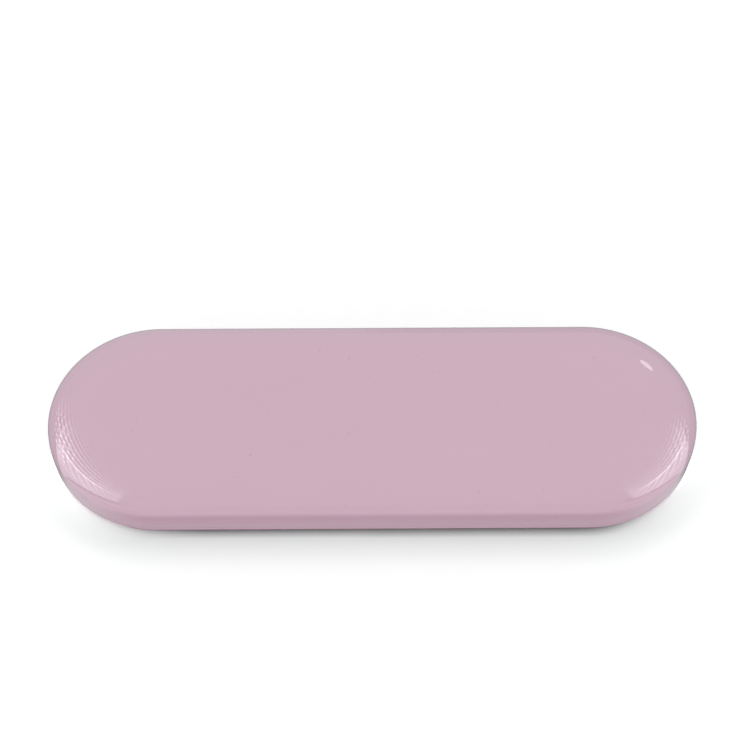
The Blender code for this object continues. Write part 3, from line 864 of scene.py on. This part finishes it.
def make_pad(material):
    """Thin velvet pad with rounded edges, a slight crown and a soft unevenness."""
    top_z = PAD_HIGH.z - PAD_CROWN
    profile = round_corner((-CROWN_RADIUS, PAD_LOW.z), (0, PAD_LOW.z), (0, top_z), PAD_LOW_ROUND)
    profile += round_corner((0, PAD_LOW.z), (0, top_z), (-CROWN_RADIUS, top_z), PAD_EDGE_ROUND)
    edge_inset, _ = profile[-1]
    for step in range(1, PAD_CROWN_STEPS + 1):
        share = step / PAD_CROWN_STEPS
        lift = PAD_CROWN * math.sin(share * math.pi / 2)
        profile.append((edge_inset - PAD_CROWN_WIDTH * share, top_z + lift))
    last = profile[-1][0]
    for step in range(1, PAD_MIDDLE_STEPS + 1):
        inwards = (PAD_MIDDLE_RADIUS - PAD_RADIUS - last) * step / PAD_MIDDLE_STEPS
        profile.append((last + inwards, PAD_HIGH.z))
    body = bmesh.new()
    skin(body, [
        ring_points(PAD_RADIUS + inset, z, straight_half=RECESS_HALF, center_y=BED_Y)
        for inset, z in profile
    ])
    pad = to_object("bed_pad_velvet", body)
    for vertex in pad.data.vertices:
        if vertex.co.z > top_z:
            x, y = vertex.co.x, vertex.co.y
            wave = math.sin(x * PAD_WAVE_X + PAD_SHIFT_X) * math.sin(y * PAD_WAVE_Y + PAD_SHIFT_Y)
            wave += PAD_CROSS_SHARE * math.sin(x * PAD_CROSS_X + y * PAD_CROSS_Y)
            dip = 1 + wave / (1 + PAD_CROSS_SHARE)
            vertex.co.z -= PAD_WAVE_DEPTH * dip * (vertex.co.z - top_z) / PAD_CROWN
    finish_piece(pad, "base", ["bed_pad"], material, weighted=False)


def make_liner(material):
    """Thin lining formed to the inside of the lid, with a rounded lower edge."""
    inset = LID_THICKNESS + TOUCH_GAP
    outer = lid_profile(inset, LINER_LOW.z, 0, INNER_SHOULDER_STEPS)
    inner = lid_profile(inset + LINER_THICKNESS, LINER_LOW.z, 0, INNER_SHOULDER_STEPS)
    liner = bowl("lid_liner_flocked", outer, inner, LINER_EDGE_ROUND / 2, LINER_EDGE_ROUND)
    finish_piece(liner, "lid", ["lid_liner"], material)


def make_magnets(prefix, body_name, low, high, material):
    """Two small nickel-plated block magnets with rounded edges."""
    for label, side in SIDES.items():
        low_x, high_x = span(side, low.x, high.x)
        body = bmesh.new()
        add_block(body, (low_x, low.y, low.z), (high_x, high.y, high.z))
        magnet = to_object(f"{prefix}_magnet_{label}_plated", body)
        round_edges(magnet, MAGNET_ROUND)
        finish_piece(magnet, body_name, [f"{prefix}_magnet_{label}"], material)


def make_pins(material):
    """Two turned steel hinge pins."""
    for label, side in SIDES.items():
        low_x, high_x = span(side, PIN_LOW.x, PIN_HIGH.x)
        body = bmesh.new()
        add_rod(body, low_x, high_x, PIN_RADIUS, BORE_SIDES, PIN_CHAMFER)
        pin = to_object(f"hinge_pin_{label}_turned", body)
        finish_piece(pin, "base", [f"hinge_pin_{label}"], material)


def dress_strips(material):
    """The two magnet strips stay as they are, with a better material."""
    for label, side in SIDES.items():
        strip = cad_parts[f"magnet_strip_{label}"]
        strip.data.materials.clear()
        strip.data.materials.append(material)


def outside_distance(graph, beside, y):
    """Distance on the floor from the lid's lower edge, where beside is x without its sign."""
    past_straight = graph.math("MAXIMUM", graph.math("SUBTRACT", beside, STRAIGHT_HALF), 0.0)
    square = graph.math("MULTIPLY_ADD", past_straight, past_straight, graph.math("MULTIPLY", y, y))
    return graph.math("SUBTRACT", graph.math("SQRT", square), LID_EDGE_RADIUS)


def mirrored_floor(graph, place):
    """Brightness that the floor gives off as painted light to mirrored rays: dark by the case, with
    a gleam to each side.
    """
    axes = graph.node("ShaderNodeSeparateXYZ", {"Vector": place})
    x, y = axes.outputs["X"], axes.outputs["Y"]
    beside = graph.math("ABSOLUTE", x)
    right_share = graph.right_share(x)
    gap = outside_distance(graph, beside, y)
    front = graph.ramp(gap, *FRONT_DARK_REACH, *FRONT_DARK_LEVELS)
    foot = graph.ramp(gap, *FOOT_REACH, FOOT_LEVEL, 0.0)
    foot = graph.product(graph.ramp(gap, *FOOT_START), foot)
    front = graph.math("ADD", front, foot)

    # Seen from the gleam's apex, places have a slope: y over the distance out
    out = graph.math("SUBTRACT", beside, GLEAM_APEX_X)
    across = graph.math("SUBTRACT", y, GLEAM_APEX_Y)
    slope = graph.math("DIVIDE", across, graph.math("MAXIMUM", out, GLEAM_NEAREST))
    end = graph.ramp(gap, *END_FLOOR_REACH, *END_FLOOR_LEVELS)
    end = graph.product(end, graph.ramp(slope, *END_FLOOR_SLOPES, END_FLOOR_SHARE, 1.0))
    level = graph.ramp(beside, *END_FLOOR_START, front, end)

    from_front = graph.math("ADD", slope, graph.by_side(right_share, GLEAM_FRONT_SLOPES))
    from_back = graph.math("SUBTRACT", GLEAM_BACK_SLOPE, slope)
    crease = graph.ramp(from_front, *CREASE_REACH, 1.0, CREASE_SHARE)
    crease = graph.ramp(graph.ramp(out, *CREASE_START), 0, 1, 1.0, crease)
    level = graph.product(level, crease)
    gleam = graph.product(
        graph.ramp(from_front, *GLEAM_FRONT_EDGE),
        graph.ramp(from_back, *GLEAM_BACK_EDGE),
        graph.ramp(out, *GLEAM_START),
    )
    level = graph.blend(gleam, level, graph.ramp(out, *GLEAM_REACH, *GLEAM_LEVELS))

    behind = graph.math("MULTIPLY_ADD", graph.math("MAXIMUM", out, 0.0), -GLEAM_BACK_SLOPE, across)
    far_level = graph.by_side(right_share, BACK_FLOOR_FAR)
    back = graph.ramp(gap, *BACK_FLOOR_REACH, BACK_FLOOR_NEAR, far_level)
    return graph.blend(graph.ramp(behind, *BACK_FLOOR_EDGE), level, back)


def seen_floor(graph, place):
    """Colour of the floor to the eye: white beside and behind, painted lighter close by the case at
    its sides, and a painted soft shadow in front.
    """
    axes = graph.node("ShaderNodeSeparateXYZ", {"Vector": place})
    x, y = axes.outputs["X"], axes.outputs["Y"]
    right_share = graph.right_share(x)
    gap = outside_distance(graph, graph.math("ABSOLUTE", x), y)
    outside = graph.math("MAXIMUM", gap, 0.0)

    def nearness(distance, reach):
        return graph.math("EXPONENT", graph.math("DIVIDE", distance, -reach))

    # Painted light: the open floor is painted brighter the nearer it lies to the case, and brighter
    # still at the lid's edge round the ends, lightening the real shadow there; behind, the
    # brightening is held from a few millimetres out, so some real shadow stays.
    past_back = graph.ramp(y, *BACK_SHADOW_Y, 0.0, BACK_SHADOW_WIDTH)
    past_back = graph.math("MAXIMUM", outside, past_back)
    open_floor = graph.math("MULTIPLY_ADD", nearness(past_back, OPEN_REACH), OPEN_RISE, OPEN_LEVEL)
    edge_lift = graph.ramp(y, *BACK_SHADOW_Y, EDGE_LIFT, 0.0)
    edge_lift = graph.product(edge_lift, graph.ramp(y, *EDGE_LIFT_Y))
    edge_lift = graph.ramp(gap, *EDGE_REACH, edge_lift, 0.0)
    open_floor = graph.math("MULTIPLY_ADD", open_floor, edge_lift, open_floor)

    # The painted shadow gives way to the open floor round each end, by the sine of the turn
    shadow = graph.ramp(gap, *SHADOW_END, *SHADOW_LEVELS)
    turn = graph.math("DIVIDE", y, graph.math("ADD", gap, LID_EDGE_RADIUS))
    turn = graph.math("SUBTRACT", turn, graph.ramp(gap, *SHADOW_DRIFT_REACH, 0.0, SHADOW_DRIFT))
    start = graph.by_side(right_share, SHADOW_STARTS)
    stop = graph.by_side(right_share, SHADOW_STOPS)
    level = graph.ramp(turn, start, stop, shadow, open_floor, smoothly=False)

    # Painted shadow: a dark contact band along the front, under and just past the lid's edge
    off_middle = graph.math("ABSOLUTE", graph.math("SUBTRACT", x, CONTACT_MIDDLE))
    front = graph.ramp(off_middle, *CONTACT_X, 1.0, 0.0)
    front = graph.product(graph.ramp(y, *CONTACT_Y, 1.0, 0.0), front)
    contact = graph.ramp(gap, *CONTACT_REACH, CONTACT_LEVEL, 1.0, smoothly=False)
    level = graph.product(level, graph.blend(front, 1.0, contact))
    # Painted colour against light: a faint green cast close by the case, offsetting the pink light
    # that the case throws on the floor.
    scaled = graph.node("ShaderNodeVectorMath", operation="SCALE")
    graph.feed(scaled.inputs[0], graph.mix(nearness(outside, BOUNCE_OFFSET_REACH), WHITE, BOUNCE_OFFSET_COLOR))
    graph.feed(scaled.inputs["Scale"], level)
    return scaled.outputs["Vector"]


def in_gloss(graph, path):
    """1 for mirrored and refracted rays."""
    return graph.math("MAXIMUM", path.outputs["Is Glossy Ray"], path.outputs["Is Transmission Ray"])


def make_floor():
    """White floor that keeps the case's real shadow, reshaped to the eye by painted shade and
    painted light, and fades to plain white further out.
    """
    body = bmesh.new()
    bmesh.ops.create_circle(body, cap_ends=True, segments=FLOOR_SIDES, radius=FLOOR_RADIUS)
    floor = to_object("floor", body)
    material = bpy.data.materials.new("floor_white")
    material.use_nodes = True
    tree = material.node_tree
    tree.nodes.clear()
    graph = Graph(tree)
    path = graph.node("ShaderNodeLightPath")
    place = graph.node("ShaderNodeTexCoord").outputs["Object"]
    to_eye = path.outputs["Is Camera Ray"]
    near = graph.node("ShaderNodeBsdfDiffuse", {
        "Color": graph.mix(to_eye, FLOOR_COLOR, seen_floor(graph, place)),
    })
    far = graph.node("ShaderNodeEmission", {"Color": WHITE, "Strength": 1.0})
    distance = graph.node("ShaderNodeVectorMath", operation="LENGTH")
    graph.feed(distance.inputs[0], place)
    far_share = graph.ramp(distance.outputs["Value"], FADE_START, FADE_END)
    seen = graph.node("ShaderNodeMixShader", {"Fac": graph.product(far_share, to_eye)})
    tree.links.new(near.outputs[0], seen.inputs[1])
    tree.links.new(far.outputs[0], seen.inputs[2])
    mirrored = graph.node("ShaderNodeEmission", {
        "Color": WHITE, "Strength": mirrored_floor(graph, place),
    })
    mixed = graph.node("ShaderNodeMixShader", {"Fac": in_gloss(graph, path)})
    tree.links.new(seen.outputs[0], mixed.inputs[1])
    tree.links.new(mirrored.outputs[0], mixed.inputs[2])
    output = graph.node("ShaderNodeOutputMaterial")
    tree.links.new(mixed.outputs[0], output.inputs["Surface"])
    floor.data.materials.append(material)


def mirrored_studio(graph, direction):
    """Brightness of the studio in the gloss: pale walls and a slatted light panel at each side."""
    axes = graph.node("ShaderNodeSeparateXYZ", {"Vector": direction})
    x, y, z = (axes.outputs[name] for name in "XYZ")
    right_share = graph.right_share(x)
    beside = graph.math("MAXIMUM", graph.math("ABSOLUTE", x), BESIDE_LEAST)
    forward = graph.math("DIVIDE", y, beside)
    height = graph.math("DIVIDE", z, beside)

    def by_side(pair):
        return graph.by_side(right_share, pair)

    def wave(value, period):
        turns = graph.math("DIVIDE", graph.math("MULTIPLY", value, 2 * math.pi), period)
        return graph.math("COSINE", turns)

    # Lines across the studio
    row = graph.math("MULTIPLY_ADD", forward, by_side(ROW_SLOPES), height)
    past_streak = graph.math("SUBTRACT", row, by_side(STREAK_ROWS))
    above_crease = graph.math("MULTIPLY_ADD", forward, by_side(CREASE_SLOPES), height)
    above_crease = graph.math("ADD", above_crease, CREASE_RISE)
    panel_back = graph.math("MULTIPLY_ADD", height, PANEL_BACK_SLOPE, by_side(PANEL_BACK_STARTS))
    fan_back = graph.math("MULTIPLY_ADD", height, FAN_BACK_SLOPE, by_side(FAN_BACK_STARTS))
    in_front = graph.ramp(graph.math("SUBTRACT", forward, by_side(PANEL_FRONTS)), *PANEL_FRONT_EDGE)
    over_crease = graph.ramp(above_crease, *CREASE_EDGE)

    # Walls, with a dark crease under the panels
    back = graph.ramp(z, *BACK_WALL_Z, *BACK_WALL_LEVELS)
    front = graph.ramp(z, *FRONT_WALL_Z, *FRONT_WALL_LEVELS)
    room = graph.ramp(y, *WALL_BLEND, front, back)
    crease = graph.ramp(forward, *CREASE_FRONT, 1.0, CREASE_SHARE)
    crease = graph.ramp(height, *CREASE_TOP, crease, 1.0)
    crease = graph.ramp(forward, *CREASE_BACK, crease, 1.0)
    room = graph.product(room, graph.ramp(above_crease, *CREASE_REACH, 1.0, crease))

    # Panels: a pale striped lower part, a bright streak and an upper part
    stripe = wave(graph.math("MULTIPLY_ADD", forward, -STRIPE_SLOPE, height), STRIPE_PERIOD)
    off_middle = graph.math("ABSOLUTE", graph.math("SUBTRACT", forward, PALE_MIDDLE))
    pale = graph.ramp(off_middle, *PALE_REACH, *PALE_LEVELS)
    pale = graph.product(pale, graph.math("MULTIPLY_ADD", stripe, STRIPE_DEPTH, 1.0))
    upper = graph.ramp(past_streak, *UPPER_REACH, *UPPER_LEVELS)
    panel = graph.ramp(past_streak, *UPPER_EDGE, pale, upper)
    streak = graph.product(
        graph.ramp(graph.math("ABSOLUTE", past_streak), *STREAK_WIDTH, 1.0, 0.0),
        graph.ramp(forward, *STREAK_FRONT, STREAK_FRONT_SHARE, 1.0),
        graph.ramp(forward, *STREAK_BACK, 1.0, 0.0),
    )
    panel = graph.math("MULTIPLY_ADD", streak, STREAK_LEVEL, panel)
    from_back = graph.math("SUBTRACT", panel_back, forward)
    share = graph.product(over_crease, graph.ramp(from_back, *PANEL_BACK_EDGE), in_front)
    level = graph.blend(share, room, panel)

    # Rows of light and dots of light over and behind the panels
    from_back = graph.math("SUBTRACT", fan_back, forward)
    in_fan = graph.product(graph.ramp(from_back, *FAN_BACK_EDGE), in_front, over_crease)
    rows = graph.product(
        graph.ramp(wave(past_streak, by_side(ROW_PERIODS)), *ROW_WAVE, *ROW_WAVE_LEVELS),
        graph.ramp(past_streak, *ROW_FADE, by_side(ROW_LEVELS), 0.0),
        graph.ramp(past_streak, *ROW_START),
        graph.ramp(forward, *ROW_BACK_FADE, 1.0, ROW_BACK_SHARE),
        in_fan,
    )
    waves = []
    for along, up, shift in zip(DOT_WAVE_FORWARDS, DOT_WAVE_HEIGHTS, DOT_WAVE_SHIFTS):
        place = graph.math("MULTIPLY_ADD", forward, along, graph.math("MULTIPLY", height, up))
        waves.append(wave(graph.math("ADD", place, shift), 1.0))
    dots = graph.product(
        graph.ramp(graph.math("ADD", *waves), *DOT_SIZE),
        graph.ramp(forward, *DOT_FRONT),
        graph.ramp(height, *DOT_TOP, 1.0, 0.0),
        graph.ramp(forward, *DOT_FADE, 1.0, DOT_BACK_SHARE),
        by_side(DOT_LEVELS),
        in_fan,
    )
    level = graph.math("MAXIMUM", graph.math("ADD", level, graph.math("ADD", rows, dots)), 0.0)

    towards = graph.node("ShaderNodeVectorMath", operation="DOT_PRODUCT")
    graph.feed(towards.inputs[0], direction)
    graph.feed(towards.inputs[1], LAMP_DIRECTION)
    lamp = graph.ramp(towards.outputs["Value"], *LAMP_EDGE)
    return graph.math("MULTIPLY_ADD", lamp, LAMP_LEVEL, level)


def make_world():
    """Soft white studio all round, whose walls and side panels show in the gloss."""
    world = bpy.data.worlds.new("studio")
    bpy.context.scene.world = world
    world.use_nodes = True
    tree = world.node_tree
    tree.nodes.clear()
    graph = Graph(tree)
    path = graph.node("ShaderNodeLightPath")
    direction = graph.node("ShaderNodeTexCoord").outputs["Generated"]
    level = graph.blend(in_gloss(graph, path), SKY_LEVEL, mirrored_studio(graph, direction))
    level = graph.blend(path.outputs["Is Camera Ray"], level, 1.0)
    background = graph.node("ShaderNodeBackground", {"Color": WHITE, "Strength": level})
    output = graph.node("ShaderNodeOutputWorld")
    tree.links.new(background.outputs[0], output.inputs["Surface"])


def make_camera():
    """Camera at the photograph's viewing angle."""
    look = Vector((0, math.cos(CAMERA_PITCH), -math.sin(CAMERA_PITCH)))
    right = Vector((1, 0, 0))
    up = Vector((0, math.sin(CAMERA_PITCH), math.cos(CAMERA_PITCH)))
    turn = Matrix.Rotation(-CAMERA_YAW, 3, "Z")
    place = turn @ (Vector((AIM_X, AIM_Y, 0)) - look * CAMERA_DISTANCE)
    place.z += LID_EDGE_Z
    cosine, sine = math.cos(CAMERA_ROLL), math.sin(CAMERA_ROLL)
    across = right * cosine - up * sine
    over = right * sine + up * cosine
    axes = Matrix((turn @ across, turn @ over, turn @ -look))
    data = bpy.data.cameras.new("camera")
    data.sensor_width = SENSOR_WIDTH
    data.lens = FOCAL_PIXELS * SENSOR_WIDTH / PICTURE_SIZE
    data.clip_start = 0.01
    data.clip_end = 20
    camera = bpy.data.objects.new("camera", data)
    bpy.context.scene.collection.objects.link(camera)
    camera.matrix_world = Matrix.Translation(place) @ axes.transposed().to_4x4()
    bpy.context.scene.camera = camera


pink = lacquer("pink_lacquer")
blush_flock = flock("blush_flock", BLUSH, BLUSH_DEEP, FLOCK_NAP, FLOCK_SHEEN, FLOCK_PILE)
rose_velvet = flock("rose_velvet", ROSE, ROSE_DEEP, VELVET_NAP, VELVET_SHEEN, VELVET_PILE)
nickel = metal("magnet_nickel", NICKEL, NICKEL_DULL, NICKEL_STRETCH, NICKEL_ROUGHNESS)
steel = metal("pin_steel", STEEL, STEEL_DULL, STEEL_STRETCH, STEEL_ROUGHNESS)

make_lid(pink)
make_base(pink)
make_tray(blush_flock)
make_pad(rose_velvet)
make_liner(blush_flock)
make_magnets("lid", "lid", LID_MAGNET_LOW, LID_MAGNET_HIGH, nickel)
make_magnets("base", "base", BASE_MAGNET_LOW, BASE_MAGNET_HIGH, nickel)
make_pins(steel)
dress_strips(ferrite("strip_ferrite"))
make_floor()
make_world()
make_camera()

scene = bpy.context.scene
scene.view_settings.view_transform = "Standard"

bpy.context.view_layer.update()
